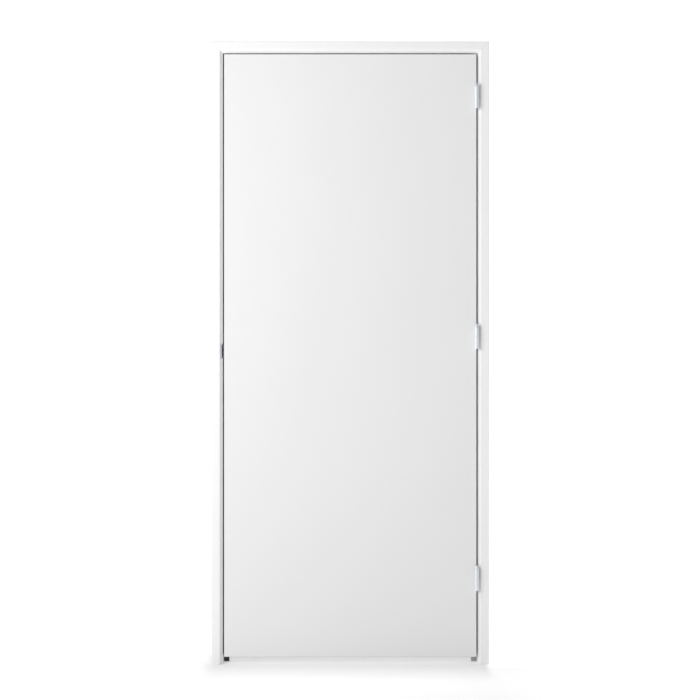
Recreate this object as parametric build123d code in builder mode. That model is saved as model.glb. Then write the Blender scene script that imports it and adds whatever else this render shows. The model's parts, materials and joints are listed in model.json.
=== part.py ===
"""Prehung interior door: a flush leaf hung on three lift-off hinges in a welded, folded-steel frame.

Millimetres. +Z is up, +Y runs through the wall away from the viewer, and the origin is on the floor
face of the hinge jamb's foot plate. The doorway lies on the -X side of that jamb.
"""
import os
from math import sqrt

from build123d import *

os.makedirs("parts", exist_ok=True)

# Door leaf: two skins on a softwood border, with a tubular chipboard core
LEAF_WIDTH = 854
LEAF_HEIGHT = 2040
LEAF_THICKNESS = 40
SKIN = 3.2
STILE_WIDTH = 35
RAIL_HEIGHT = 35
ARRIS = 0.8
CORE_TUBE_RADIUS = 12
CORE_TUBE_SIDES = 12
CORE_TUBE_PITCH = 34

# Gaps round the leaf
EDGE_GAP = 5
UNDERCUT = 27

# Folded steel frame, as seen in a cut across one member
SHEET = 1.5
FACE = 28
BEVEL = 10
STOP = 18
FRAME_DEPTH = 100
RETURN = 13
LIP = 10
BEND = 2

# Rubber seal on the stop
SEAL_WIDTH = 14
SEAL_EDGE = 2
SEAL_BASE = 1.5
SEAL_HEIGHT = 5
SEAL_BULB = 2.4
SEAL_BORE = 1.4

# Lift-off hinges, placed down from the leaf's top edge to the middle of the barrel
HINGE_DROPS = {"top": 142, "middle": 955, "bottom": 1772}
PLATE_HEIGHT = 80
PLATE_WIDTH = 26
PLATE = 2
PLATE_PROUD = 0.5
KNUCKLE_RADIUS = 7.5
LOWER_KNUCKLE = 38
UPPER_KNUCKLE = 44
KNUCKLE_TAPER = 12
KNUCKLE_TIP = 4
PIN_PROUD = 8.5
PIN_RADIUS = 4
PIN_PLAY = 0.05
PIN_LENGTH = 72
PIN_INSET = 1
PIN_HEADROOM = 4
RING = 2.3
RING_PLAY = 0.2
RING_INSET = 0.5
BACKING_PLATE = 3
BACKING_MARGIN = 15

# Latch in the leaf and its strike in the frame
LATCH_HEIGHT = 1062
STRIKE_HOLE = 44
STRIKE_RIM = 3
STRIKE_FRONT_RIM = 5.5
STRIKE_LAP = 10
STRIKE_SHEET = 1.5
STRIKE_BEND = 1.7
STRIKE_REACH = 28
BOX_WALL = 1.2
BOX_DEPTH = 15
FACEPLATE_HEIGHT = 170
FACEPLATE_WIDTH = 20
FACEPLATE = 2.5
CASE_HEIGHT = 150
CASE_THICKNESS = 15
CASE_DEPTH = 58
BOLT_HEIGHT = 30
BOLT_THICKNESS = 11
BOLT_LENGTH = 24
BOLT_SLOPE = 9
BOLT_PROUD = 1
BOLT_PLAY = 0.3
LOCK_BLOCK_WIDTH = 60
LOCK_BLOCK_HEIGHT = 320

# Wall anchors and foot plates inside the jambs
ANCHOR_HEIGHTS = (180, 1000, 1800)
ANCHOR_TALL = 40
ANCHOR_SHEET = 2
ANCHOR_REACH = 18
ANCHOR_HALF_SPAN = 32
ANCHOR_FOOT = 6
ANCHOR_HOLE_RADIUS = 2.5
ANCHOR_HOLE_SPACING = 40
FOOT_SHEET = 2
FOOT_BEND = 3
FOOT_WIDTH = 26
FOOT_LENGTH = 60
FOOT_TALL = 40
FOOT_HOLE_RADIUS = 3
FOOT_HOLE_SPACING = 36
FOOT_HOLE_INSET = 16

# Places worked out from the sizes above
FACE_Y = -FRAME_DEPTH / 2
BACK_Y = FRAME_DEPTH / 2
STOP_Y = 0
MEMBER = FACE + BEVEL
HINGE_REBATE_X = -(MEMBER - STOP) / 2
LEAF_RIGHT = HINGE_REBATE_X - EDGE_GAP
LEAF_LEFT = LEAF_RIGHT - LEAF_WIDTH
LEAF_MIDDLE = LEAF_RIGHT - LEAF_WIDTH / 2
LATCH_REBATE_X = LEAF_LEFT - EDGE_GAP
OUTER_RIGHT = HINGE_REBATE_X + MEMBER
OUTER_LEFT = LATCH_REBATE_X - MEMBER
LEAF_TOP = UNDERCUT + LEAF_HEIGHT
LEAF_BACK_Y = FACE_Y + LEAF_THICKNESS
HEAD_REBATE_Z = LEAF_TOP + EDGE_GAP
FRAME_TOP = HEAD_REBATE_Z + MEMBER
PIN_X = LEAF_RIGHT
PIN_Y = FACE_Y - PIN_PROUD
LATCH_Y = FACE_Y + LEAF_THICKNESS / 2
HINGE_HEIGHTS = {name: LEAF_TOP - drop for name, drop in HINGE_DROPS.items()}

# Each frame member is drawn in its own plane: local x runs from the rebate into the wall, local y
# through the wall. The three planes share one drawing, so the corners meet in plain mitres.
HINGE_PLANE = Plane(origin=(HINGE_REBATE_X, 0, 0), x_dir=(1, 0, 0), z_dir=(0, 0, 1))
LATCH_PLANE = Plane(origin=(LATCH_REBATE_X, 0, FRAME_TOP), x_dir=(-1, 0, 0), z_dir=(0, 0, -1))
HEAD_PLANE = Plane(origin=(OUTER_RIGHT, 0, HEAD_REBATE_Z), x_dir=(0, 0, 1), z_dir=(-1, 0, 0))
HINGE_MITRE = Plane(origin=(HINGE_REBATE_X, 0, HEAD_REBATE_Z), z_dir=(1, 0, -1))
LATCH_MITRE = Plane(origin=(LATCH_REBATE_X, 0, HEAD_REBATE_Z), z_dir=(-1, 0, -1))


def finish(piece, name):
    """Label a finished piece and write it."""
    piece.part.label = name
    export_step(piece.part, f"parts/{name}.step")


def around(middle, length):
    """The two ends of a length centred on a place."""
    return (middle - length / 2, middle + length / 2)


def slab(x, y, z):
    """A squared block between two places on each axis."""
    with BuildPart() as block:
        with Locations((min(x), min(y), min(z))):
            Box(abs(x[1] - x[0]), abs(y[1] - y[0]), abs(z[1] - z[0]), align=Align.MIN)
    return block.part


def folded_section(plane, points, thickness, bend=0):
    """The cut face of a folded sheet: its traced side, with any rounded bends, thickened to the right."""
    with BuildSketch(plane) as section:
        with BuildLine():
            if bend:
                FilletPolyline(*points, radius=bend)
            else:
                Polyline(*points)
            offset(amount=thickness, side=Side.RIGHT)
        make_face()
    return section.sketch


# Frame: one sheet folded along its length, with a bevelled edge, a rebate for the leaf, a stop, and
# a lip on each side that lies on the wall
def frame_section(plane):
    """The frame's folded sheet on a member's plane, traced on its outside."""
    points = (
        (MEMBER - LIP, FACE_Y + RETURN),
        (MEMBER, FACE_Y + RETURN),
        (MEMBER, FACE_Y),
        (BEVEL, FACE_Y),
        (0, FACE_Y + BEVEL),
        (0, STOP_Y),
        (-STOP, STOP_Y),
        (-STOP, BACK_Y - BEVEL),
        (BEVEL - STOP, BACK_Y),
        (MEMBER, BACK_Y),
        (MEMBER, BACK_Y - RETURN),
        (MEMBER - LIP, BACK_Y - RETURN),
    )
    return folded_section(plane, points, SHEET, BEND)


plate_back_y = FACE_Y + BEVEL + PLATE_WIDTH
window_front_y = FACE_Y + BEVEL - PLATE

with BuildPart() as hinge_jamb:
    extrude(frame_section(HINGE_PLANE), amount=FRAME_TOP)
    split(bisect_by=HINGE_MITRE, keep=Keep.TOP)
    for height in HINGE_HEIGHTS.values():
        window_x = around(HINGE_REBATE_X, 2 * SHEET)
        window = slab(window_x, (window_front_y, plate_back_y), around(height, PLATE_HEIGHT))
        add(window, mode=Mode.SUBTRACT)
finish(hinge_jamb, "hinge_jamb")

strike_back_y = FACE_Y + BEVEL + STRIKE_REACH
strike_window_z = around(LATCH_HEIGHT, STRIKE_HOLE + 2 * STRIKE_RIM)

with BuildPart() as latch_jamb:
    extrude(frame_section(LATCH_PLANE), amount=FRAME_TOP)
    split(bisect_by=LATCH_MITRE, keep=Keep.TOP)
    window_x = (LATCH_REBATE_X - BEVEL + 1, LATCH_REBATE_X + 1)
    add(slab(window_x, (FACE_Y, strike_back_y), strike_window_z), mode=Mode.SUBTRACT)
finish(latch_jamb, "latch_jamb")

with BuildPart() as frame_head:
    extrude(frame_section(HEAD_PLANE), amount=OUTER_RIGHT - OUTER_LEFT)
    split(bisect_by=HINGE_MITRE, keep=Keep.BOTTOM)
    split(bisect_by=LATCH_MITRE, keep=Keep.BOTTOM)
finish(frame_head, "frame_head")


# Seals: a flat base and a hollow bulb, mitred like the frame. On the latch side the seal runs down to
# the floor, and on the hinge side it ends level with the leaf.
def seal_section(plane):
    """The seal's cut face, on the front of the stop."""
    middle = SEAL_EDGE + SEAL_WIDTH / 2 - STOP
    bulb = Locations((middle, STOP_Y - SEAL_HEIGHT + SEAL_BULB))
    with BuildSketch(plane) as section:
        with Locations((middle, STOP_Y - SEAL_BASE / 2)):
            Rectangle(SEAL_WIDTH, SEAL_BASE)
        with bulb:
            Circle(SEAL_BULB)
            Circle(SEAL_BORE, mode=Mode.SUBTRACT)
    return section.sketch


with BuildPart() as hinge_side_seal:
    extrude(seal_section(HINGE_PLANE.offset(UNDERCUT)), amount=LEAF_HEIGHT + EDGE_GAP + MEMBER)
    split(bisect_by=HINGE_MITRE, keep=Keep.TOP)
finish(hinge_side_seal, "hinge_side_seal")

with BuildPart() as latch_side_seal:
    extrude(seal_section(LATCH_PLANE), amount=FRAME_TOP)
    split(bisect_by=LATCH_MITRE, keep=Keep.TOP)
finish(latch_side_seal, "latch_side_seal")

with BuildPart() as head_seal:
    extrude(seal_section(HEAD_PLANE), amount=OUTER_RIGHT - OUTER_LEFT)
    split(bisect_by=HINGE_MITRE, keep=Keep.BOTTOM)
    split(bisect_by=LATCH_MITRE, keep=Keep.BOTTOM)
finish(head_seal, "head_seal")

# Steel plates welded behind the hinge windows
with BuildPart() as hinge_backing_plates:
    plate_x = (HINGE_REBATE_X + SHEET, HINGE_REBATE_X + SHEET + BACKING_PLATE)
    plate_y = (FACE_Y + BEVEL + PLATE, plate_back_y + PLATE)
    for height in HINGE_HEIGHTS.values():
        add(slab(plate_x, plate_y, around(height, PLATE_HEIGHT + 2 * BACKING_MARGIN)))
finish(hinge_backing_plates, "hinge_backing_plates")


# Lift-off hinges: the lower knuckle and the pin stay with the frame, the upper knuckle lifts off
def round_bar(radius, foot_z, length):
    """A cylinder on the hinge's axis."""
    with BuildPart() as bar:
        with Locations((PIN_X, PIN_Y, foot_z)):
            Cylinder(radius, length, align=(Align.CENTER, Align.CENTER, Align.MIN))
    return bar.part


def tapered_knuckle(foot_z):
    """The upper knuckle, drawn in to a blunt tip."""
    with BuildPart() as knuckle:
        add(round_bar(KNUCKLE_RADIUS, foot_z, UPPER_KNUCKLE))
        tip = knuckle.faces().sort_by(Axis.Z)[-1]
        chamfer(tip.edges(), KNUCKLE_RADIUS - KNUCKLE_TIP, KNUCKLE_TAPER, reference=tip)
    return knuckle.part


bore_radius = PIN_RADIUS + PIN_PLAY
barrel = LOWER_KNUCKLE + RING + RING_PLAY + UPPER_KNUCKLE

for name, height in HINGE_HEIGHTS.items():
    lower_z = height - barrel / 2
    ring_z = lower_z + LOWER_KNUCKLE
    upper_z = ring_z + RING + RING_PLAY
    pin_top_z = lower_z + PIN_INSET + PIN_LENGTH
    frame_plate_x = (HINGE_REBATE_X - PLATE_PROUD, HINGE_REBATE_X + PLATE - PLATE_PROUD)
    frame_plate_y = (window_front_y, plate_back_y)
    leaf_plate_x = (LEAF_RIGHT - PLATE, LEAF_RIGHT)
    leaf_plate_y = (FACE_Y, FACE_Y + PLATE_WIDTH)
    lower_tab_z = (height - PLATE_HEIGHT / 2, ring_z)
    upper_tab_z = (upper_z, upper_z + UPPER_KNUCKLE - KNUCKLE_TAPER)

    with BuildPart() as frame_hinge_leaf:
        add(round_bar(KNUCKLE_RADIUS, lower_z, LOWER_KNUCKLE))
        add(slab(frame_plate_x, frame_plate_y, around(height, PLATE_HEIGHT)))
        add(slab(frame_plate_x, (PIN_Y + PIN_RADIUS, window_front_y), lower_tab_z))
        add(round_bar(bore_radius, lower_z, LOWER_KNUCKLE), mode=Mode.SUBTRACT)
    finish(frame_hinge_leaf, f"{name}_hinge_frame_leaf")

    with BuildPart() as hinge_pin:
        add(round_bar(PIN_RADIUS, lower_z + PIN_INSET, PIN_LENGTH))
    finish(hinge_pin, f"{name}_hinge_pin")

    with BuildPart() as hinge_ring:
        add(round_bar(KNUCKLE_RADIUS - RING_INSET, ring_z, RING))
        add(round_bar(bore_radius, ring_z, RING), mode=Mode.SUBTRACT)
    finish(hinge_ring, f"{name}_hinge_ring")

    with BuildPart() as door_hinge_leaf:
        add(tapered_knuckle(upper_z))
        add(slab(leaf_plate_x, leaf_plate_y, around(height, PLATE_HEIGHT)))
        add(slab(leaf_plate_x, (PIN_Y + PIN_RADIUS, FACE_Y), upper_tab_z))
        add(round_bar(bore_radius, upper_z, pin_top_z - upper_z + PIN_HEADROOM), mode=Mode.SUBTRACT)
    finish(door_hinge_leaf, f"{name}_hinge_door_leaf")

# Strike: a plated sheet behind the jamb's window, folded along its bevel, and a dust box on its hole
hole_z = around(LATCH_HEIGHT, STRIKE_HOLE)
bevel_back = FACE_Y + BEVEL + SHEET * sqrt(2)
strike_tall = STRIKE_HOLE + 2 * STRIKE_RIM + 2 * STRIKE_LAP

with BuildPart() as strike_plate:
    strike_end = LATCH_PLANE.offset(FRAME_TOP - LATCH_HEIGHT - strike_tall / 2)
    points = (
        (BEVEL - SHEET / 2, bevel_back - BEVEL + SHEET / 2),
        (SHEET, bevel_back - SHEET),
        (SHEET, strike_back_y + STRIKE_LAP / 2),
    )
    extrude(folded_section(strike_end, points, STRIKE_SHEET, STRIKE_BEND), amount=strike_tall)
    hole_x = (LATCH_REBATE_X - BEVEL + 1 + STRIKE_FRONT_RIM, LATCH_REBATE_X)
    add(slab(hole_x, (FACE_Y, strike_back_y - STRIKE_RIM), hole_z), mode=Mode.SUBTRACT)
finish(strike_plate, "strike_plate")

with BuildPart() as strike_box:
    mouth_x = LATCH_REBATE_X - SHEET - STRIKE_SHEET
    box_z = around(LATCH_HEIGHT, STRIKE_HOLE + 2 * BOX_WALL)
    add(slab((mouth_x - BOX_DEPTH, mouth_x), (FACE_Y + BEVEL + PLATE, strike_back_y + BOX_WALL), box_z))
    offset(amount=-BOX_WALL, openings=strike_box.faces().sort_by(Axis.X)[-1])
finish(strike_box, "strike_box")


# Wall anchors: hat-shaped straps welded inside each jamb, with two screw holes to the wall's stud
def wall_anchors(plane, way):
    """Three straps on a jamb's plane, whose wall side lies the given way along X."""
    outline = (
        (SHEET, -ANCHOR_HALF_SPAN - ANCHOR_FOOT),
        (SHEET, -ANCHOR_HALF_SPAN),
        (ANCHOR_REACH - ANCHOR_SHEET, -ANCHOR_HALF_SPAN),
        (ANCHOR_REACH - ANCHOR_SHEET, ANCHOR_HALF_SPAN),
        (SHEET - STOP, ANCHOR_HALF_SPAN),
        (SHEET - STOP, ANCHOR_HALF_SPAN + ANCHOR_FOOT),
    )
    wall_x = plane.origin.X + way * ANCHOR_REACH
    with BuildPart() as anchors:
        for height in ANCHOR_HEIGHTS:
            start = abs(height - plane.origin.Z) - ANCHOR_TALL / 2
            strap = folded_section(plane.offset(start), outline, ANCHOR_SHEET)
            extrude(strap, amount=ANCHOR_TALL)
            with Locations(Plane(origin=(wall_x, STOP_Y, height), x_dir=(0, 1, 0), z_dir=(way, 0, 0))):
                with GridLocations(ANCHOR_HOLE_SPACING, 0, 2, 1):
                    Hole(ANCHOR_HOLE_RADIUS, 2 * ANCHOR_SHEET)
    return anchors


for name, plane, way in (("hinge", HINGE_PLANE, 1), ("latch", LATCH_PLANE, -1)):
    finish(wall_anchors(plane, way), f"{name}_side_wall_anchors")


# Foot plates: an angle inside each jamb, its upright welded to the rebate and its foot screwed down
def foot_plate(plane, way):
    """One angle on a jamb's plane, whose foot reaches the given way along X."""
    outline = (
        (SHEET + FOOT_WIDTH, 0),
        (SHEET, 0),
        (SHEET, FOOT_TALL),
    )
    end = Plane(origin=(plane.origin.X, -FOOT_LENGTH / 2, 0), x_dir=(way, 0, 0), z_dir=(0, -way, 0))
    with BuildPart() as angle:
        extrude(folded_section(end, outline, FOOT_SHEET, FOOT_BEND), amount=-way * FOOT_LENGTH)
        upright_x = (plane.origin.X, plane.origin.X + way * (SHEET + FOOT_SHEET))
        add(slab(upright_x, (STOP_Y, FOOT_LENGTH / 2), (FOOT_BEND, FOOT_TALL)), mode=Mode.SUBTRACT)
        with Locations((plane.origin.X + way * FOOT_HOLE_INSET, 0, FOOT_SHEET)):
            with GridLocations(0, FOOT_HOLE_SPACING, 1, 2):
                Hole(FOOT_HOLE_RADIUS, FOOT_SHEET)
    return angle


for name, plane, way in (("hinge", HINGE_PLANE, 1), ("latch", LATCH_PLANE, -1)):
    finish(foot_plate(plane, way), f"{name}_jamb_foot_plate")

# Pockets in the leaf's edges for the hinge plates and the latch
with BuildPart() as hinge_recesses:
    for height in HINGE_HEIGHTS.values():
        recess_x = (LEAF_RIGHT - PLATE, LEAF_RIGHT + PLATE)
        add(slab(recess_x, (FACE_Y - 1, FACE_Y + PLATE_WIDTH), around(height, PLATE_HEIGHT)))

case_x = (LEAF_LEFT + FACEPLATE, LEAF_LEFT + FACEPLATE + CASE_DEPTH)


def faceplate_blank(proud):
    """A round-ended plate let into the leaf's latch edge, standing proud of it by the given amount."""
    edge = Plane(origin=(LEAF_LEFT - proud, LATCH_Y, LATCH_HEIGHT), x_dir=(0, 0, 1), z_dir=(1, 0, 0))
    with BuildPart() as blank:
        with BuildSketch(edge):
            SlotOverall(FACEPLATE_HEIGHT, FACEPLATE_WIDTH)
        extrude(amount=proud + FACEPLATE)
    return blank.part


with BuildPart() as latch_pocket:
    add(faceplate_blank(BOLT_PROUD))
    add(slab(case_x, around(LATCH_Y, CASE_THICKNESS), around(LATCH_HEIGHT, CASE_HEIGHT)))

# Leaf
core_x = (LEAF_LEFT + STILE_WIDTH, LEAF_RIGHT - STILE_WIDTH)
core_y = (FACE_Y + SKIN, LEAF_BACK_Y - SKIN)
core_z = (UNDERCUT + RAIL_HEIGHT, LEAF_TOP - RAIL_HEIGHT)
lock_x = (core_x[0], core_x[0] + LOCK_BLOCK_WIDTH)
lock_block_space = slab(lock_x, core_y, around(LATCH_HEIGHT, LOCK_BLOCK_HEIGHT))

with BuildPart() as leaf_front_skin:
    add(slab((LEAF_LEFT, LEAF_RIGHT), (FACE_Y, core_y[0]), (UNDERCUT, LEAF_TOP)))
    chamfer(leaf_front_skin.faces().sort_by(Axis.Y)[0].edges(), ARRIS)
    add(hinge_recesses.part, mode=Mode.SUBTRACT)
finish(leaf_front_skin, "leaf_front_skin")

with BuildPart() as leaf_back_skin:
    add(slab((LEAF_LEFT, LEAF_RIGHT), (core_y[1], LEAF_BACK_Y), (UNDERCUT, LEAF_TOP)))
    chamfer(leaf_back_skin.faces().sort_by(Axis.Y)[-1].edges(), ARRIS)
finish(leaf_back_skin, "leaf_back_skin")

with BuildPart() as hinge_stile:
    add(slab((core_x[1], LEAF_RIGHT), core_y, (UNDERCUT, LEAF_TOP)))
    add(hinge_recesses.part, mode=Mode.SUBTRACT)
finish(hinge_stile, "hinge_stile")

with BuildPart() as latch_stile:
    add(slab((LEAF_LEFT, core_x[0]), core_y, (UNDERCUT, LEAF_TOP)))
    add(latch_pocket.part, mode=Mode.SUBTRACT)
finish(latch_stile, "latch_stile")

with BuildPart() as top_rail:
    add(slab(core_x, core_y, (core_z[1], LEAF_TOP)))
finish(top_rail, "top_rail")

with BuildPart() as bottom_rail:
    add(slab(core_x, core_y, (UNDERCUT, core_z[0])))
finish(bottom_rail, "bottom_rail")

with BuildPart() as lock_block:
    add(lock_block_space)
    add(latch_pocket.part, mode=Mode.SUBTRACT)
finish(lock_block, "lock_block")

with BuildPart() as leaf_core:
    tubes = int((core_x[1] - core_x[0]) // CORE_TUBE_PITCH)
    with BuildSketch(Plane.XY.offset(core_z[0])):
        with Locations((LEAF_MIDDLE, LATCH_Y)):
            Rectangle(core_x[1] - core_x[0], core_y[1] - core_y[0])
            with GridLocations(CORE_TUBE_PITCH, 0, tubes, 1):
                RegularPolygon(CORE_TUBE_RADIUS, CORE_TUBE_SIDES, mode=Mode.SUBTRACT)
    extrude(amount=core_z[1] - core_z[0])
    add(lock_block_space, mode=Mode.SUBTRACT)
finish(leaf_core, "leaf_core")

# Latch in the leaf's edge, with its bolt drawn in
channel_y = around(LATCH_Y, BOLT_THICKNESS + 2 * BOLT_PLAY)
channel_z = around(LATCH_HEIGHT, BOLT_HEIGHT + 2 * BOLT_PLAY)
channel = slab((LEAF_LEFT, LEAF_LEFT - BOLT_PROUD + BOLT_LENGTH + BOLT_PLAY), channel_y, channel_z)

with BuildPart() as latch_case:
    add(slab(case_x, around(LATCH_Y, CASE_THICKNESS), around(LATCH_HEIGHT, CASE_HEIGHT)))
    add(channel, mode=Mode.SUBTRACT)
finish(latch_case, "latch_case")

with BuildPart() as latch_faceplate:
    add(faceplate_blank(0))
    add(channel, mode=Mode.SUBTRACT)
finish(latch_faceplate, "latch_faceplate")

with BuildPart() as latch_bolt:
    with BuildSketch(Plane(origin=(LEAF_LEFT - BOLT_PROUD, LATCH_Y, LATCH_HEIGHT))):
        with BuildLine():
            Polyline(
                (0, -BOLT_THICKNESS / 2),
                (BOLT_LENGTH, -BOLT_THICKNESS / 2),
                (BOLT_LENGTH, BOLT_THICKNESS / 2),
                (BOLT_SLOPE, BOLT_THICKNESS / 2),
                close=True,
            )
        make_face()
    extrude(amount=BOLT_HEIGHT / 2, both=True)
finish(latch_bolt, "latch_bolt")
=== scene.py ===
"""Prehung interior door: finishes, screws, welds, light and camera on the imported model."""
import json
from math import pi

import bpy
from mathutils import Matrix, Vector


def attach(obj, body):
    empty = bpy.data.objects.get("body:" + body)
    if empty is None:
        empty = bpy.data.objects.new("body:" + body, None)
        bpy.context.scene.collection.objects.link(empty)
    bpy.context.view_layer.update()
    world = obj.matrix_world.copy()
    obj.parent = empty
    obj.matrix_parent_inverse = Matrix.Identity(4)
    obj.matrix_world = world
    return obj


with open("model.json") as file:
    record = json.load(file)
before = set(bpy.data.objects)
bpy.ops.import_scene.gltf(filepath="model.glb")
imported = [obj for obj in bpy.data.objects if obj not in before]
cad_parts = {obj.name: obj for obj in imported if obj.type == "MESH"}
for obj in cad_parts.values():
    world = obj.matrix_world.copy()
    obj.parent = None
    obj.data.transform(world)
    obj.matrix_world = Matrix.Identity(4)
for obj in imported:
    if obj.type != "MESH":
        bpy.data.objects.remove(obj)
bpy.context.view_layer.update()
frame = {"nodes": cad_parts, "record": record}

MM = 0.001

# Places on the part that the finishes and fittings go by, in metres
HINGE_REBATE_X = -0.010
LATCH_REBATE_X = -0.874
HEAD_REBATE_Z = 2.072
LEAF_RIGHT_X = -0.015
LEAF_LEFT_X = -0.869
LEAF_MIDDLE_Y = -0.030
FACE_Y = -0.050
BACK_Y = 0.050
LATCH_Z = 1.062
HINGE_HEIGHTS = (1.925, 1.112, 0.295)
ANCHOR_HEIGHTS = (0.180, 1.000, 1.800)
SHEET = 1.5 * MM
SKIN = 3.2 * MM
LEAF_THICKNESS = 40 * MM
LEFT, RIGHT, FRONT, BACK = (-1, 0, 0), (1, 0, 0), (0, -1, 0), (0, 1, 0)

# Sockets told apart by number: the colour ones of a Mix node, and the limits of a random number
FACTOR, FIRST, SECOND, BLENDED = 0, 6, 7, 2
LEAST, MOST, DRAWN = 2, 3, 1


def linear(code):
    """A linear colour from an sRGB hex code."""
    parts = [int(code[i : i + 2], 16) / 255 for i in (1, 3, 5)]
    return [p / 12.92 if p <= 0.04045 else ((p + 0.055) / 1.055) ** 2.4 for p in parts] + [1]


def add(tree, kind, inputs=(), **settings):
    """Add a node. Each input is a plain value or the output of another node."""
    made = tree.nodes.new(kind)
    for name, value in settings.items():
        setattr(made, name, value)
    for name, value in dict(inputs).items():
        if isinstance(value, bpy.types.NodeSocket):
            tree.links.new(value, made.inputs[name])
        else:
            made.inputs[name].default_value = value
    return made


def start_finish(name, **surface):
    """Start a material with its shader's plain values. Returns it, its tree, its shader and the place."""
    material = bpy.data.materials.new(name)
    material.use_nodes = True
    shader = material.node_tree.nodes["Principled BSDF"]
    for socket, value in surface.items():
        shader.inputs[socket.replace("_", " ")].default_value = value
    place = add(material.node_tree, "ShaderNodeTexCoord").outputs["Object"]
    return material, material.node_tree, shader, place


def dress(tree, shader, colour=None, roughness=None, normal=None):
    """Link what varies over the surface to the shader."""
    for name, output in (("Base Color", colour), ("Roughness", roughness), ("Normal", normal)):
        if output:
            tree.links.new(output, shader.inputs[name])


def painted_shade(tree, place, unshaded, gloss):
    """Lay painted shade over a colour, grey, and make the roughness quite matt where it lies.

    The painted shade is dark deep in a gap of a few millimetres, more so low down and less beside the
    hinges, and none lies in a plain corner. It darkens the foot of the stop, all of it that shows under
    the leaf and most on the latch side, and a thin grey wash of painted shade darkens the lowest part of
    everything, more towards the bottom.
    """
    axes = add(tree, "ShaderNodeSeparateXYZ", {0: place}).outputs
    # Painted shade in gaps: where ambient occlusion finds a narrow gap, the colour is darkened
    openness = add(
        tree, "ShaderNodeAmbientOcclusion", {"Distance": 15 * MM}, samples=8
    ).outputs["AO"]
    gap = add(
        tree, "ShaderNodeMapRange", {"Value": openness, "From Min": 0.3, "From Max": 0.16}
    ).outputs[0]
    low = add(
        tree,
        "ShaderNodeMapRange",
        {"Value": axes["Z"], "From Min": 1.8, "From Max": 0.1, "To Min": 0.7},
    ).outputs[0]
    off_hinges = add(
        tree,
        "ShaderNodeMapRange",
        {"Value": axes["X"], "From Min": -0.04, "From Max": -0.02, "To Min": 1.0, "To Max": 0.2},
    ).outputs[0]
    shade_weight = add(tree, "ShaderNodeMath", {0: low, 1: off_hinges}, operation="MULTIPLY").outputs[0]
    gap_shade = add(tree, "ShaderNodeMath", {0: gap, 1: shade_weight}, operation="MULTIPLY").outputs[0]

    # Painted shade on the foot of the stop: all of it that shows under the leaf, fading out by 75 mm up
    foot_shade_depth = add(
        tree,
        "ShaderNodeMapRange",
        {"Value": axes["X"], "From Min": -0.2, "From Max": -0.8, "To Min": 0.6, "To Max": 1.0},
    ).outputs[0]
    near_floor = add(
        tree,
        "ShaderNodeMapRange",
        {"Value": axes["Z"], "From Min": 75 * MM, "From Max": 20 * MM, "To Max": foot_shade_depth},
        interpolation_type="SMOOTHSTEP",
    ).outputs[0]
    off_stop = add(tree, "ShaderNodeMath", {0: axes["Y"]}, operation="ABSOLUTE").outputs[0]
    on_stop = add(
        tree, "ShaderNodeMath", {0: off_stop, 1: 3 * MM}, operation="LESS_THAN"
    ).outputs[0]
    foot = add(tree, "ShaderNodeMath", {0: near_floor, 1: on_stop}, operation="MULTIPLY").outputs[0]

    # Painted shade: a faint grey that grows towards the floor over the lowest 0.7 m
    low_shade = add(
        tree,
        "ShaderNodeMapRange",
        {"Value": axes["Z"], "From Min": 0.7, "From Max": 0.05, "To Max": 0.035},
    ).outputs[0]
    gap_or_foot_shade = add(tree, "ShaderNodeMath", {0: gap_shade, 1: foot}, operation="MAXIMUM").outputs[0]
    shade_amount = add(tree, "ShaderNodeMath", {0: gap_or_foot_shade, 1: low_shade}, operation="MAXIMUM").outputs[0]
    # The grey of the painted shade, and a matt roughness where it lies
    colour = add(
        tree,
        "ShaderNodeMix",
        {FACTOR: shade_amount, FIRST: unshaded, SECOND: linear("#464649")},
        data_type="RGBA",
    ).outputs[BLENDED]
    rough = add(tree, "ShaderNodeMix", {"Factor": shade_amount, "A": gloss, "B": 0.95}).outputs[0]
    return colour, rough


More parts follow.
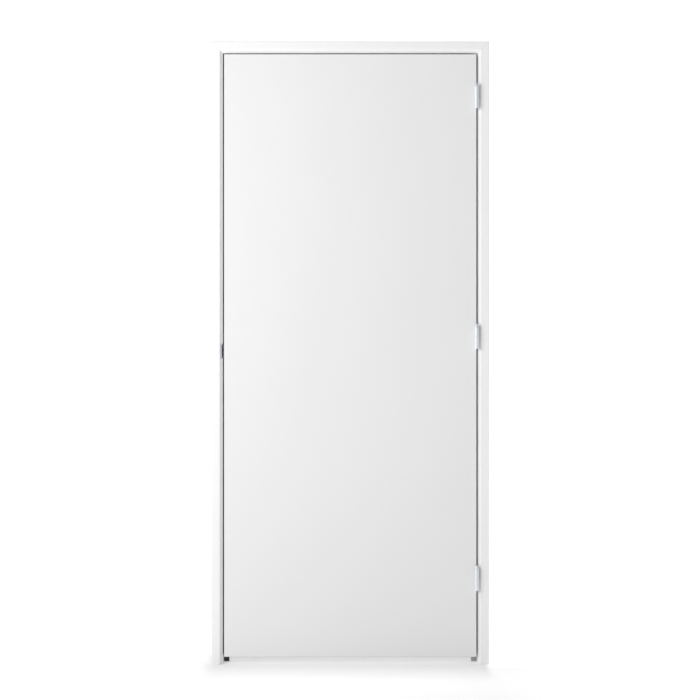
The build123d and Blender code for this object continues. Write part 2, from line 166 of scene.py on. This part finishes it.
def stove_enamel():
    """Stove enamel on folded steel: a hard satin white, with shallow ripples, thinner and greyer on the
    folds, with painted shade in the gaps, and with the welds ground flush along the two top mitres."""
    material, tree, shader, place = start_finish("stove_enamel_white", IOR=1.5)
    drift = add(
        tree, "ShaderNodeTexNoise", {"Vector": place, "Scale": 1 / (300 * MM), "Detail": 2.0}
    ).outputs[0]
    white = add(
        tree,
        "ShaderNodeMix",
        {FACTOR: drift, FIRST: linear("#F3F3F3"), SECOND: linear("#F6F6F6")},
        data_type="RGBA",
    ).outputs[BLENDED]

    # A fold is where the normal rounded over 1.5 mm turns away from the plain one
    rounded = add(tree, "ShaderNodeBevel", {"Radius": 1.5 * MM}, samples=4).outputs[0]
    plain = add(tree, "ShaderNodeNewGeometry").outputs["Normal"]
    match = add(
        tree, "ShaderNodeVectorMath", {0: rounded, 1: plain}, operation="DOT_PRODUCT"
    ).outputs["Value"]
    fold = add(
        tree, "ShaderNodeMapRange", {"Value": match, "From Min": 0.98, "From Max": 0.75}
    ).outputs[0]

    # The mitres lie where x - z and x + z are constant, from just under the head's stop up
    mitres_start = HEAD_REBATE_Z - 20 * MM
    mitre_lines = (
        ("SUBTRACT", HINGE_REBATE_X - HEAD_REBATE_Z),
        ("ADD", LATCH_REBATE_X + HEAD_REBATE_Z),
    )
    axes = add(tree, "ShaderNodeSeparateXYZ", {0: place}).outputs
    distances = []
    for turn, level in mitre_lines:
        line = add(tree, "ShaderNodeMath", {0: axes["X"], 1: axes["Z"]}, operation=turn).outputs[0]
        off = add(tree, "ShaderNodeMath", {0: line, 1: level}, operation="SUBTRACT").outputs[0]
        distances.append(add(tree, "ShaderNodeMath", {0: off}, operation="ABSOLUTE").outputs[0])
    across = add(
        tree, "ShaderNodeMath", {0: distances[0], 1: distances[1]}, operation="MINIMUM"
    ).outputs[0]
    below = add(
        tree, "ShaderNodeMath", {0: mitres_start, 1: axes["Z"]}, operation="SUBTRACT"
    ).outputs[0]
    off_mitre = add(tree, "ShaderNodeMath", {0: across, 1: below}, operation="MAXIMUM").outputs[0]
    seam = add(
        tree,
        "ShaderNodeMapRange",
        {"Value": off_mitre, "From Min": 1.4 * MM, "From Max": 0.4 * MM},
    ).outputs[0]
    ground = add(
        tree, "ShaderNodeMapRange", {"Value": off_mitre, "From Min": 16 * MM, "From Max": 5 * MM}
    ).outputs[0]

    grey = add(tree, "ShaderNodeMath", {0: seam, 1: 0.18}, operation="MULTIPLY").outputs[0]
    thin = add(
        tree, "ShaderNodeMath", {0: fold, 1: 0.05, 2: grey}, operation="MULTIPLY_ADD", use_clamp=True
    ).outputs[0]
    unshaded = add(
        tree,
        "ShaderNodeMix",
        {FACTOR: thin, FIRST: white, SECOND: linear("#B9BCBE")},
        data_type="RGBA",
    ).outputs[BLENDED]

    # Ripples of 8 mm, coarser than the real 2 mm so that they show, and grinding marks on the welds
    ripple = add(
        tree, "ShaderNodeTexNoise", {"Vector": place, "Scale": 1 / (8 * MM), "Detail": 1.0}
    ).outputs[0]
    marks = add(
        tree, "ShaderNodeTexNoise", {"Vector": place, "Scale": 1 / (1.5 * MM), "Detail": 3.0}
    ).outputs[0]
    rubbed = add(tree, "ShaderNodeMath", {0: ground, 1: marks}, operation="MULTIPLY").outputs[0]
    height = add(
        tree, "ShaderNodeMath", {0: rubbed, 1: 0.35, 2: ripple}, operation="MULTIPLY_ADD"
    ).outputs[0]
    normal = add(
        tree,
        "ShaderNodeBump",
        {"Strength": 0.6, "Distance": 0.03 * MM, "Height": height, "Normal": rounded},
    ).outputs[0]
    gloss = add(
        tree,
        "ShaderNodeMapRange",
        {"Value": rubbed, "From Max": 0.6, "To Min": 0.34, "To Max": 0.46},
    ).outputs[0]
    dress(tree, shader, *painted_shade(tree, place, unshaded, gloss), normal)
    return material


def sprayed_lacquer():
    """Sprayed lacquer on hardboard skins: an even, slightly greyer white with a fine stipple, painted shade
    in the gaps, and with a hairline on the leaf's edges where each skin meets the border."""
    material, tree, shader, place = start_finish("sprayed_lacquer_white", IOR=1.48)
    drift = add(
        tree, "ShaderNodeTexNoise", {"Vector": place, "Scale": 1 / (450 * MM), "Detail": 3.0}
    ).outputs[0]
    white = add(
        tree,
        "ShaderNodeMix",
        {FACTOR: drift, FIRST: linear("#E9E9E9"), SECOND: linear("#ECECEC")},
        data_type="RGBA",
    ).outputs[BLENDED]

    joint_depth = LEAF_THICKNESS / 2 - SKIN
    depth = add(tree, "ShaderNodeSeparateXYZ", {0: place}).outputs["Y"]
    from_middle = add(
        tree, "ShaderNodeMath", {0: depth, 1: LEAF_MIDDLE_Y}, operation="SUBTRACT"
    ).outputs[0]
    either_way = add(tree, "ShaderNodeMath", {0: from_middle}, operation="ABSOLUTE").outputs[0]
    off = add(
        tree, "ShaderNodeMath", {0: either_way, 1: joint_depth}, operation="SUBTRACT"
    ).outputs[0]
    beside = add(tree, "ShaderNodeMath", {0: off}, operation="ABSOLUTE").outputs[0]
    hairline = add(
        tree,
        "ShaderNodeMapRange",
        {"Value": beside, "From Min": 0.35 * MM, "From Max": 0.1 * MM, "To Max": 0.35},
    ).outputs[0]
    unshaded = add(
        tree,
        "ShaderNodeMix",
        {FACTOR: hairline, FIRST: white, SECOND: linear("#9A9A96")},
        data_type="RGBA",
    ).outputs[BLENDED]

    # Stipple of 3 mm, coarser than the real 1 mm so that it shows
    rounded = add(tree, "ShaderNodeBevel", {"Radius": 0.8 * MM}, samples=4).outputs[0]
    stipple = add(
        tree, "ShaderNodeTexNoise", {"Vector": place, "Scale": 1 / (3 * MM), "Detail": 2.0}
    ).outputs[0]
    normal = add(
        tree,
        "ShaderNodeBump",
        {"Strength": 0.5, "Distance": 0.02 * MM, "Height": stipple, "Normal": rounded},
    ).outputs[0]
    gloss = add(
        tree, "ShaderNodeMapRange", {"Value": drift, "To Min": 0.36, "To Max": 0.44}
    ).outputs[0]
    dress(tree, shader, *painted_shade(tree, place, unshaded, gloss), normal)
    return material


def bright_zinc():
    """Bright zinc plating on steel: pale silver with a cool blue cast, faintly cloudy and satin, with fine
    lines from turning and rolling that run round the knuckles."""
    material, tree, shader, place = start_finish("bright_zinc_plating", Metallic=1.0)
    cloud = add(
        tree, "ShaderNodeTexNoise", {"Vector": place, "Scale": 1 / (9 * MM), "Detail": 3.0}
    ).outputs[0]
    colour = add(
        tree,
        "ShaderNodeMix",
        {FACTOR: cloud, FIRST: linear("#E5E9EE"), SECOND: linear("#F2F4F7")},
        data_type="RGBA",
    ).outputs[BLENDED]
    stretch = add(
        tree, "ShaderNodeMapping", {"Vector": place, "Scale": (0.15, 0.15, 1.0)}
    ).outputs[0]
    lines = add(
        tree, "ShaderNodeTexNoise", {"Vector": stretch, "Scale": 1 / (0.5 * MM), "Detail": 2.0}
    ).outputs[0]
    rounded = add(tree, "ShaderNodeBevel", {"Radius": 0.4 * MM}, samples=4).outputs[0]
    normal = add(
        tree,
        "ShaderNodeBump",
        {"Strength": 0.5, "Distance": 0.02 * MM, "Height": lines, "Normal": rounded},
    ).outputs[0]
    gloss = add(
        tree, "ShaderNodeMapRange", {"Value": cloud, "To Min": 0.62, "To Max": 0.74}
    ).outputs[0]
    dress(tree, shader, colour, gloss, normal)
    return material


def galvanised_sheet():
    """Hot-dip galvanised sheet: dull grey metal in 7 mm spangles, each with its own tone and gloss."""
    material, tree, shader, place = start_finish("galvanised_sheet", Metallic=1.0)
    spangle = add(
        tree, "ShaderNodeTexVoronoi", {"Vector": place, "Scale": 1 / (7 * MM)}
    ).outputs["Color"]
    tone = add(tree, "ShaderNodeSeparateColor", {0: spangle}).outputs[0]
    colour = add(
        tree,
        "ShaderNodeMix",
        {FACTOR: tone, FIRST: linear("#A7ACB0"), SECOND: linear("#C4C8CB")},
        data_type="RGBA",
    ).outputs[BLENDED]
    gloss = add(
        tree, "ShaderNodeMapRange", {"Value": tone, "To Min": 0.38, "To Max": 0.56}
    ).outputs[0]
    dress(tree, shader, colour, gloss)
    return material


def seal_rubber():
    """Extruded rubber: matt, warm and nearly black, with a fine grain and a faint bloom in patches."""
    material, tree, shader, place = start_finish("seal_rubber", IOR=1.52, Specular_IOR_Level=0.35)
    bloom = add(
        tree, "ShaderNodeTexNoise", {"Vector": place, "Scale": 1 / (25 * MM), "Detail": 3.0}
    ).outputs[0]
    colour = add(
        tree,
        "ShaderNodeMix",
        {FACTOR: bloom, FIRST: linear("#3B3531"), SECOND: linear("#4A443F")},
        data_type="RGBA",
    ).outputs[BLENDED]
    grain = add(
        tree, "ShaderNodeTexNoise", {"Vector": place, "Scale": 1 / (0.8 * MM), "Detail": 2.0}
    ).outputs[0]
    normal = add(
        tree, "ShaderNodeBump", {"Strength": 0.5, "Distance": 0.05 * MM, "Height": grain}
    ).outputs[0]
    gloss = add(
        tree, "ShaderNodeMapRange", {"Value": bloom, "To Min": 0.62, "To Max": 0.8}
    ).outputs[0]
    dress(tree, shader, colour, gloss, normal)
    return material


def moulded_box_plastic():
    """Moulded polypropylene: near-black with a blue cast and a fine spark-eroded grain."""
    material, tree, shader, place = start_finish("moulded_box_plastic", IOR=1.49)
    mottle = add(
        tree, "ShaderNodeTexNoise", {"Vector": place, "Scale": 1 / (12 * MM), "Detail": 2.0}
    ).outputs[0]
    colour = add(
        tree,
        "ShaderNodeMix",
        {FACTOR: mottle, FIRST: linear("#14161F"), SECOND: linear("#1E212C")},
        data_type="RGBA",
    ).outputs[BLENDED]
    grain = add(
        tree, "ShaderNodeTexNoise", {"Vector": place, "Scale": 1 / (0.6 * MM), "Detail": 2.0}
    ).outputs[0]
    normal = add(
        tree, "ShaderNodeBump", {"Strength": 0.5, "Distance": 0.04 * MM, "Height": grain}
    ).outputs[0]
    gloss = add(
        tree, "ShaderNodeMapRange", {"Value": mottle, "To Min": 0.45, "To Max": 0.6}
    ).outputs[0]
    dress(tree, shader, colour, gloss, normal)
    return material


def turned_acetal():
    """Turned acetal for the bearing rings: waxy off-white that lets a little light in, with fine tool
    lines."""
    material, tree, shader, place = start_finish(
        "turned_acetal", IOR=1.48, Subsurface_Weight=0.15, Subsurface_Scale=1.0 * MM
    )
    cloud = add(
        tree, "ShaderNodeTexNoise", {"Vector": place, "Scale": 1 / (4 * MM), "Detail": 3.0}
    ).outputs[0]
    colour = add(
        tree,
        "ShaderNodeMix",
        {FACTOR: cloud, FIRST: linear("#DEDCD4"), SECOND: linear("#EBEAE4")},
        data_type="RGBA",
    ).outputs[BLENDED]
    stretch = add(
        tree, "ShaderNodeMapping", {"Vector": place, "Scale": (0.1, 0.1, 1.0)}
    ).outputs[0]
    lines = add(
        tree, "ShaderNodeTexNoise", {"Vector": stretch, "Scale": 1 / (0.25 * MM), "Detail": 1.0}
    ).outputs[0]
    normal = add(
        tree, "ShaderNodeBump", {"Strength": 0.5, "Distance": 0.02 * MM, "Height": lines}
    ).outputs[0]
    gloss = add(
        tree, "ShaderNodeMapRange", {"Value": cloud, "To Min": 0.35, "To Max": 0.5}
    ).outputs[0]
    dress(tree, shader, colour, gloss, normal)
    return material


def raw_chipboard():
    """Extruded chipboard: pressed flakes of 4 mm in several browns, rough and matt."""
    material, tree, shader, place = start_finish("raw_chipboard", Specular_IOR_Level=0.3)
    flakes = add(
        tree, "ShaderNodeTexVoronoi", {"Vector": place, "Scale": 1 / (4 * MM)}
    ).outputs
    tone = add(tree, "ShaderNodeSeparateColor", {0: flakes["Color"]}).outputs[1]
    colour = add(
        tree,
        "ShaderNodeMix",
        {FACTOR: tone, FIRST: linear("#A47B4A"), SECOND: linear("#D3B183")},
        data_type="RGBA",
    ).outputs[BLENDED]
    normal = add(
        tree,
        "ShaderNodeBump",
        {"Strength": 0.6, "Distance": 0.4 * MM, "Height": flakes["Distance"]},
    ).outputs[0]
    gloss = add(
        tree, "ShaderNodeMapRange", {"Value": tone, "To Min": 0.75, "To Max": 0.9}
    ).outputs[0]
    dress(tree, shader, colour, gloss, normal)
    return material


def planed_softwood():
    """Planed softwood: pale, with darker growth lines 5 mm apart along its length."""
    material, tree, shader, place = start_finish("planed_softwood", Specular_IOR_Level=0.35)
    along = add(
        tree, "ShaderNodeMapping", {"Vector": place, "Scale": (1.0, 1.0, 0.06)}
    ).outputs[0]
    # The bands of a wave texture lie about 1 / (pi * Scale) apart
    growth = add(
        tree,
        "ShaderNodeTexWave",
        {"Vector": along, "Scale": 1 / (pi * 5 * MM), "Distortion": 3.0, "Detail": 2.0},
        bands_direction="X",
    ).outputs["Fac"]
    colour = add(
        tree,
        "ShaderNodeMix",
        {FACTOR: growth, FIRST: linear("#E0C394"), SECOND: linear("#C2965C")},
        data_type="RGBA",
    ).outputs[BLENDED]
    normal = add(
        tree, "ShaderNodeBump", {"Strength": 0.3, "Distance": 0.1 * MM, "Height": growth}
    ).outputs[0]
    gloss = add(
        tree, "ShaderNodeMapRange", {"Value": growth, "To Min": 0.55, "To Max": 0.7}
    ).outputs[0]
    dress(tree, shader, colour, gloss, normal)
    return material


finishes = {
    "frame_paint": stove_enamel(),
    "leaf_lacquer": sprayed_lacquer(),
    "zinc_plate": bright_zinc(),
    "galvanised": galvanised_sheet(),
    "seal_rubber": seal_rubber(),
    "box_plastic": moulded_box_plastic(),
    "ring_acetal": turned_acetal(),
    "chipboard": raw_chipboard(),
    "softwood": planed_softwood(),
}
for subpart in frame["record"]["subparts"]:
    for slot in frame["nodes"][subpart["node"]].material_slots:
        slot.material = finishes[subpart["material_slot"]]


# What repeats: screws, spot welds and weld beads, each grown by a node tree on points with a facing
def start_tree(name, sizes):
    """Start a geometry tree with named inputs. Returns it and what it is given."""
    tree = bpy.data.node_groups.new(name, "GeometryNodeTree")
    tree.interface.new_socket("Geometry", in_out="INPUT", socket_type="NodeSocketGeometry")
    for size, value in sizes.items():
        kind = "NodeSocketInt" if isinstance(value, int) else "NodeSocketFloat"
        tree.interface.new_socket(size, in_out="INPUT", socket_type=kind).default_value = value
    tree.interface.new_socket("Geometry", in_out="OUTPUT", socket_type="NodeSocketGeometry")
    return tree, add(tree, "NodeGroupInput").outputs


def outward_turn(tree):
    """The turn that points a shape's Z along each point's facing."""
    facing = add(
        tree, "GeometryNodeInputNamedAttribute", {"Name": "facing"}, data_type="FLOAT_VECTOR"
    ).outputs[0]
    return add(tree, "FunctionNodeAlignRotationToVector", {"Vector": facing}, axis="Z").outputs[0]


def end_tree(tree, geometry, finish):
    """Close a tree: real mesh in place of instances, with its finish on it."""
    real = add(tree, "GeometryNodeRealizeInstances", {"Geometry": geometry}).outputs[0]
    painted = add(tree, "GeometryNodeSetMaterial", {"Geometry": real, "Material": finish}).outputs[0]
    add(tree, "NodeGroupOutput", {"Geometry": painted})


def screw_tree():
    """Countersunk screws with a cross recess, each turned its own way."""
    sizes = {
        "Head Diameter": 8.0 * MM,
        "Head Height": 0.6 * MM,
        "Recess Length": 4.6 * MM,
        "Recess Width": 1.1 * MM,
        "Turn Seed": 5,
    }
    edge_slope = 0.35 * MM
    tree, given = start_tree("countersunk_screws", sizes)
    radius = add(
        tree, "ShaderNodeMath", {0: given["Head Diameter"], 1: 0.5}, operation="MULTIPLY"
    ).outputs[0]
    top = add(tree, "ShaderNodeMath", {0: radius, 1: edge_slope}, operation="SUBTRACT").outputs[0]
    head = add(
        tree,
        "GeometryNodeMeshCone",
        {"Vertices": 40, "Radius Top": top, "Radius Bottom": radius, "Depth": given["Head Height"]},
    ).outputs["Mesh"]

    # The recess is two crossed bars, raised so that they cut the head's top and not its base
    deep = add(
        tree, "ShaderNodeMath", {0: given["Head Height"], 1: 2.0}, operation="MULTIPLY"
    ).outputs[0]
    bars = []
    for long, short in (("X", "Y"), ("Y", "X")):
        bar = add(
            tree,
            "ShaderNodeCombineXYZ",
            {long: given["Recess Length"], short: given["Recess Width"], "Z": deep},
        ).outputs[0]
        bars.append(add(tree, "GeometryNodeMeshCube", {"Size": bar}).outputs["Mesh"])
    cross = add(
        tree, "GeometryNodeMeshBoolean", {"Mesh 2": bars[0]}, operation="UNION", solver="EXACT"
    )
    tree.links.new(bars[1], cross.inputs["Mesh 2"])
    lift = add(
        tree, "ShaderNodeMath", {0: given["Head Height"], 1: 1.15}, operation="MULTIPLY"
    ).outputs[0]
    up = add(tree, "ShaderNodeCombineXYZ", {"Z": lift}).outputs[0]
    raised = add(
        tree, "GeometryNodeTransform", {"Geometry": cross.outputs[0], "Translation": up}
    ).outputs[0]
    screw = add(
        tree,
        "GeometryNodeMeshBoolean",
        {"Mesh 1": head, "Mesh 2": raised},
        operation="DIFFERENCE",
        solver="EXACT",
    ).outputs[0]

    angle = add(
        tree,
        "FunctionNodeRandomValue",
        {LEAST: 0.0, MOST: 2 * pi, "Seed": given["Turn Seed"]},
        data_type="FLOAT",
    ).outputs[DRAWN]
    turn = add(
        tree, "FunctionNodeAxisAngleToRotation", {"Axis": (0, 0, 1), "Angle": angle}
    ).outputs[0]
    placed = add(
        tree,
        "FunctionNodeRotateRotation",
        {"Rotation": outward_turn(tree), "Rotate By": turn},
        rotation_space="LOCAL",
    ).outputs[0]
    screws = add(
        tree,
        "GeometryNodeInstanceOnPoints",
        {"Points": given["Geometry"], "Instance": screw, "Rotation": placed},
    ).outputs[0]
    end_tree(tree, screws, finishes["zinc_plate"])
    return tree


def weld_tree(finish, beaded):
    """Welds of flattened drops: a rippled bead along each edge, or else a single spot on each point."""
    sizes = {
        "Weld Width": 5.0 * MM,
        "Weld Height": 0.8 * MM,
        "Ripple Spacing": 1.5 * MM,
        "Uneven Seed": 3,
    }
    tree, given = start_tree("weld_beads" if beaded else "spot_welds", sizes)
    steps = given["Geometry"]
    if beaded:
        path = add(tree, "GeometryNodeMeshToCurve", {"Mesh": steps}).outputs[0]
        steps = add(
            tree,
            "GeometryNodeCurveToPoints",
            {"Curve": path, "Length": given["Ripple Spacing"]},
            mode="LENGTH",
        ).outputs["Points"]
    radius = add(
        tree, "ShaderNodeMath", {0: given["Weld Width"], 1: 0.5}, operation="MULTIPLY"
    ).outputs[0]
    ball = add(
        tree, "GeometryNodeMeshUVSphere", {"Segments": 16, "Rings": 8, "Radius": 1.0}
    ).outputs["Mesh"]
    drop_size = add(
        tree, "ShaderNodeCombineXYZ", {"X": radius, "Y": radius, "Z": given["Weld Height"]}
    ).outputs[0]
    uneven = add(
        tree,
        "FunctionNodeRandomValue",
        {LEAST: 0.85, MOST: 1.12, "Seed": given["Uneven Seed"]},
        data_type="FLOAT",
    ).outputs[DRAWN]
    scale = add(
        tree, "ShaderNodeVectorMath", {0: drop_size, "Scale": uneven}, operation="SCALE"
    ).outputs[0]
    drops = add(
        tree,
        "GeometryNodeInstanceOnPoints",
        {"Points": steps, "Instance": ball, "Rotation": outward_turn(tree), "Scale": scale},
    ).outputs[0]
    end_tree(tree, drops, finish)
    return tree


def grow(name, tree, places, sizes, body, edges=()):
    """Grow a tree on points, each a place and a facing, and keep the result as one plain mesh."""
    points = bpy.data.meshes.new(name)
    points.from_pydata([place for place, facing in places], edges, [])
    facings = points.attributes.new("facing", "FLOAT_VECTOR", "POINT")
    facings.data.foreach_set("vector", [value for place, facing in places for value in facing])
    piece = bpy.data.objects.new(name, points)
    bpy.context.scene.collection.objects.link(piece)
    grower = piece.modifiers.new("grow", "NODES")
    grower.node_group = tree
    for socket in tree.interface.items_tree:
        if socket.in_out == "INPUT" and socket.name in sizes:
            grower[socket.identifier] = sizes[socket.name]
    evaluated = piece.evaluated_get(bpy.context.evaluated_depsgraph_get())
    plain = bpy.data.meshes.new_from_object(evaluated)
    piece.modifiers.clear()
    piece.data = plain
    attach(piece, body)


def hinge_screws(face_x, outer_y, facing):
    """Three screws on each hinge plate that lies on a face: the middle one is set further back."""
    rows = ((outer_y, 28 * MM), (outer_y + 11 * MM, 0.0), (outer_y, -28 * MM))
    return [((face_x, y, height + z), facing) for height in HINGE_HEIGHTS for y, z in rows]


screws = screw_tree()
grow(
    "hinge_screws_in_frame",
    screws,
    hinge_screws(HINGE_REBATE_X - 0.5 * MM, -0.033, LEFT),
    {"Turn Seed": 3},
    "frame",
)
grow(
    "hinge_screws_in_leaf",
    screws,
    hinge_screws(LEAF_RIGHT_X, -0.041, RIGHT),
    {"Turn Seed": 8},
    "leaf",
)
grow(
    "faceplate_screws",
    screws,
    [((LEAF_LEFT_X, LEAF_MIDDLE_Y, LATCH_Z + z), LEFT) for z in (-73 * MM, 73 * MM)],
    {"Head Diameter": 7.0 * MM, "Recess Length": 4.0 * MM, "Recess Width": 1.0 * MM},
    "leaf",
)

# Spot welds through the wall anchors' feet, two to a foot. Each anchor has one foot on the back of the
# rebate and one on the back of the stop; both are placed outwards from the rebate's face.
ANCHOR_FEET = ((3.5 * MM, -0.035), (-14.5 * MM, 0.035))
anchor_spots = [
    ((rebate_x + outward[0] * out, y, height + z), outward)
    for rebate_x, outward in ((HINGE_REBATE_X, RIGHT), (LATCH_REBATE_X, LEFT))
    for out, y in ANCHOR_FEET
    for height in ANCHOR_HEIGHTS
    for z in (-12 * MM, 12 * MM)
]
spots = weld_tree(finishes["galvanised"], beaded=False)
grow("anchor_spot_welds", spots, anchor_spots, {"Weld Height": 0.5 * MM}, "frame")

# Weld beads inside the two top corners, along the mitres on the backs of the front and rear faces. They
# start past the bevel in front and inside the stop behind, and end short of the frame's outer edge.
BEAD_END = 35 * MM
BEAD_ROWS = ((FACE_Y + SHEET, BACK, 13 * MM), (BACK_Y - SHEET, FRONT, -5 * MM))
bead_ends = [
    ((rebate_x + outward[0] * along, y, HEAD_REBATE_Z + along), facing)
    for rebate_x, outward in ((HINGE_REBATE_X, RIGHT), (LATCH_REBATE_X, LEFT))
    for y, facing, start in BEAD_ROWS
    for along in (start, BEAD_END)
]
bead_edges = [(end, end + 1) for end in range(0, len(bead_ends), 2)]
beads = weld_tree(finishes["frame_paint"], beaded=True)
grow("mitre_weld_beads", beads, bead_ends, {"Weld Width": 4.5 * MM}, "frame", bead_edges)

# Pale floor that glows with a light of its own, painted light that lifts it to meet the background. The
# glow is dimmed under the door and just before it, a painted shadow with a darker line under the back
# of the frame, and raised to the right of the door, from its front back, painted light where the
# softbox doesn't reach past it.
bpy.ops.mesh.primitive_plane_add(size=80, location=(0, 0, 0))
floor = bpy.context.object
floor.name = "studio_floor"
glowing_floor, tree, shader, place = start_finish(
    "matt_floor_with_painted_light", Roughness=0.9, Specular_IOR_Level=0.0, Emission_Color=(1, 1, 1, 1)
)
patch = add(tree, "ShaderNodeTexNoise", {"Vector": place, "Scale": 0.5}).outputs[0]
pale = add(
    tree,
    "ShaderNodeMix",
    {FACTOR: patch, FIRST: linear("#E6E6E6"), SECOND: linear("#EAEAEA")},
    data_type="RGBA",
).outputs[BLENDED]
spot = add(tree, "ShaderNodeSeparateXYZ", {0: place}).outputs


def steps_along(axis, start, steps):
    """A level along an axis: its start, then each step's beginning and end in metres and its change."""
    level = start
    for begins, ends, change in steps:
        step = add(
            tree,
            "ShaderNodeMapRange",
            {"Value": spot[axis], "From Min": begins, "From Max": ends, "To Max": change},
        ).outputs[0]
        level = add(tree, "ShaderNodeMath", {0: step, 1: level}, operation="ADD").outputs[0]
    return level


# The glow, painted light: higher to the right of the origin and far behind the door
brighter_right = steps_along("X", 0.45, ((0.0, 0.3, 0.12),))
open_floor = steps_along("Y", brighter_right, ((-0.7, -0.3, 0.06), (0.06, 0.6, 0.45)))
# Painted shadow under and just before the door, with a darker line under the back of the frame
painted_door_shadow = steps_along(
    "Y",
    0.0,
    ((-0.26, -0.04, -0.26), (-0.04, 0.01, 0.04), (0.03, 0.055, -0.14), (0.055, 0.2, 0.37)),
)
door_width = steps_along("X", 0.0, ((-0.95, -0.90, 1.0), (0.01, 0.03, -1.0)))
# Painted light that lifts the door's cast shadow beside the hinge side, from the door's front back
behind_front = steps_along("Y", 0.0, ((-0.09, -0.04, 0.4), (0.3, 1.2, -0.4)))
beside_hinges = steps_along("X", 0.0, ((0.02, 0.032, 1.0), (0.3, 1.2, -1.0)))
glow_with_painted_shadow = add(
    tree, "ShaderNodeMath", {0: painted_door_shadow, 1: door_width, 2: open_floor}, operation="MULTIPLY_ADD"
).outputs[0]
light = add(
    tree, "ShaderNodeMath", {0: behind_front, 1: beside_hinges, 2: glow_with_painted_shadow}, operation="MULTIPLY_ADD"
).outputs[0]
tree.links.new(light, shader.inputs["Emission Strength"])
dress(tree, shader, pale)
floor.data.materials.append(glowing_floor)

# Studio: white walls behind the door and grey ones before it, under a darker ceiling, and one large softbox
# on the left
world = bpy.data.worlds.new("studio")
bpy.context.scene.world = world
world.use_nodes = True
sky = world.node_tree
direction = add(sky, "ShaderNodeTexCoord").outputs["Generated"]
look = add(sky, "ShaderNodeSeparateXYZ", {0: direction}).outputs
grey_wall = add(
    sky,
    "ShaderNodeMapRange",
    {"Value": look["Z"], "From Min": 0.1, "From Max": 0.4, "To Min": 0.64, "To Max": 0.16},
).outputs[0]
white_wall = add(
    sky,
    "ShaderNodeMapRange",
    {"Value": look["Z"], "From Min": 0.28, "From Max": 0.7, "To Min": 1.06, "To Max": 0.35},
).outputs[0]
behind = add(
    sky, "ShaderNodeMapRange", {"Value": look["Y"], "From Min": -0.25, "From Max": 0.35}
).outputs[0]
strength = add(
    sky, "ShaderNodeMix", {"Factor": behind, "A": grey_wall, "B": white_wall}
).outputs[0]
sky.links.new(strength, sky.nodes["Background"].inputs["Strength"])
sky.nodes["Background"].inputs["Color"].default_value = (1, 1, 1, 1)

SOFTBOX_PLACE = Vector((-2.9, -2.6, 2.0))
SOFTBOX_TARGET = Vector((-0.7, 0.0, 1.4))
softbox = bpy.data.lights.new("softbox", "AREA")
softbox.shape = "SQUARE"
softbox.size = 2.0
softbox.energy = 79
softbox_stand = bpy.data.objects.new("softbox", softbox)
softbox_stand.location = SOFTBOX_PLACE
softbox_stand.rotation_euler = (SOFTBOX_TARGET - SOFTBOX_PLACE).to_track_quat("-Z", "Y").to_euler()
bpy.context.scene.collection.objects.link(softbox_stand)

bpy.context.scene.view_settings.view_transform = "Standard"
bpy.context.scene.view_settings.look = "None"

# Camera: level, at half the door's height, with the photograph's width of 2.3695 m on the frame's face
CAMERA_DISTANCE = 4.2
PHOTO_WIDTH = 2.3695
CAMERA_X = -0.4429
CAMERA_Z = 1.0656
camera = bpy.data.cameras.new("camera")
camera.sensor_width = 36
camera.lens = camera.sensor_width * CAMERA_DISTANCE / PHOTO_WIDTH
camera_stand = bpy.data.objects.new("camera", camera)
camera_stand.location = (CAMERA_X, FACE_Y - CAMERA_DISTANCE, CAMERA_Z)
camera_stand.rotation_euler = (pi / 2, 0, 0)
bpy.context.scene.collection.objects.link(camera_stand)
bpy.context.scene.camera = camera_stand
